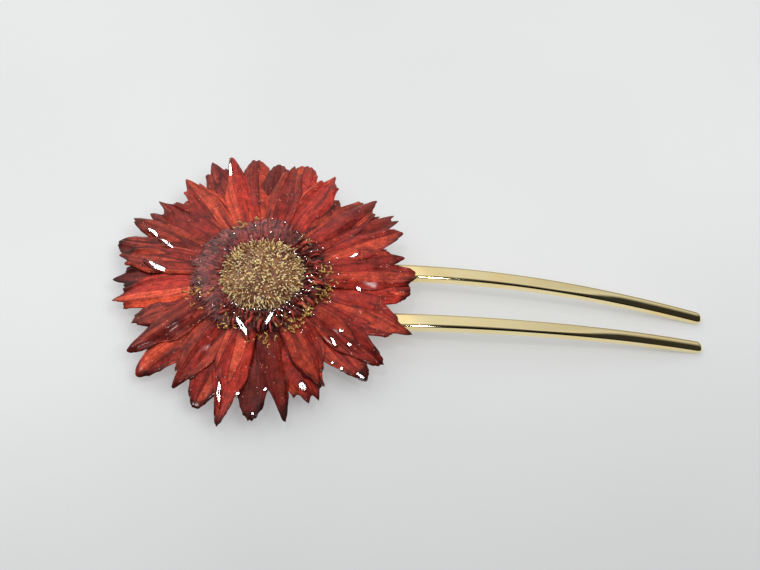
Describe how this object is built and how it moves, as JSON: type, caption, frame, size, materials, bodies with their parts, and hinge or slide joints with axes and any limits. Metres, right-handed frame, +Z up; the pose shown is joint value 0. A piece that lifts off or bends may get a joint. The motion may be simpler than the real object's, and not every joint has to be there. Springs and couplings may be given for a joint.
{
  "type": "hair fork",
  "caption": "Arched gold two-prong hair fork with a resin-coated red daisy fixed over its bend; the springy prongs slide into gathered hair and hold it.",
  "frame": {"origin": "middle of the flat underside of the resin pad, under the flower's centre", "axes": "+X along the fork from the flower to the prong tips, +Y across the prongs, +Z up out of the flower's face"},
  "size_m": [0.1427, 0.0742, 0.0142],
  "materials": {
    "gold_plate": "polished pale gold plating",
    "clear_resin": "clear cast resin, slightly yellow",
    "receptacle": "dried flower base",
    "bract": "dried leaf under resin",
    "disc_floret": "golden florets under resin",
    "ring_floret": "dark wine florets under resin",
    "anther": "gold anthers under resin",
    "petal": "dried petal under a thick gloss coat of resin"
  },
  "bodies": {
    "flower_and_bridge": {"fork_bridge": "gold_plate", "resin_pad": "clear_resin", "receptacle": "receptacle", "bracts": "bract", "disc_florets": "disc_floret", "ring_florets_inner": "ring_floret", "ring_florets_outer": "ring_floret", "anthers": "anther", "petal_01": "petal", "petal_02": "petal", "petal_03": "petal", "petal_04": "petal", "petal_05": "petal", "petal_06": "petal", "petal_07": "petal", "petal_08": "petal", "petal_09": "petal", "petal_10": "petal", "petal_11": "petal", "petal_12": "petal", "petal_13": "petal", "petal_14": "petal", "petal_15": "petal", "petal_16": "petal", "petal_17": "petal", "petal_18": "petal", "petal_19": "petal", "petal_20": "petal", "petal_21": "petal", "petal_22": "petal", "petal_23": "petal", "petal_24": "petal", "petal_25": "petal", "petal_26": "petal", "petal_27": "petal", "petal_28": "petal", "petal_29": "petal", "petal_30": "petal", "petal_31": "petal", "petal_32": "petal", "petal_33": "petal", "petal_34": "petal", "petal_35": "petal", "petal_36": "petal"},
    "left_prong": {"prong_left": "gold_plate"},
    "right_prong": {"prong_right": "gold_plate"}
  },
  "joints": [
    {"name": "left_prong_flex", "type": "hinge", "parent": "flower_and_bridge", "child": "left_prong", "pos_m": [0.016, 0.007, 0.0048], "axis": [0, 0, 1], "range_deg": [-1.5, 3], "stiffness_Nm_per_rad": 30},
    {"name": "right_prong_flex", "type": "hinge", "parent": "flower_and_bridge", "child": "right_prong", "pos_m": [0.016, -0.007, 0.0048], "axis": [0, 0, -1], "range_deg": [-1.5, 3], "stiffness_Nm_per_rad": 30}
  ]
}
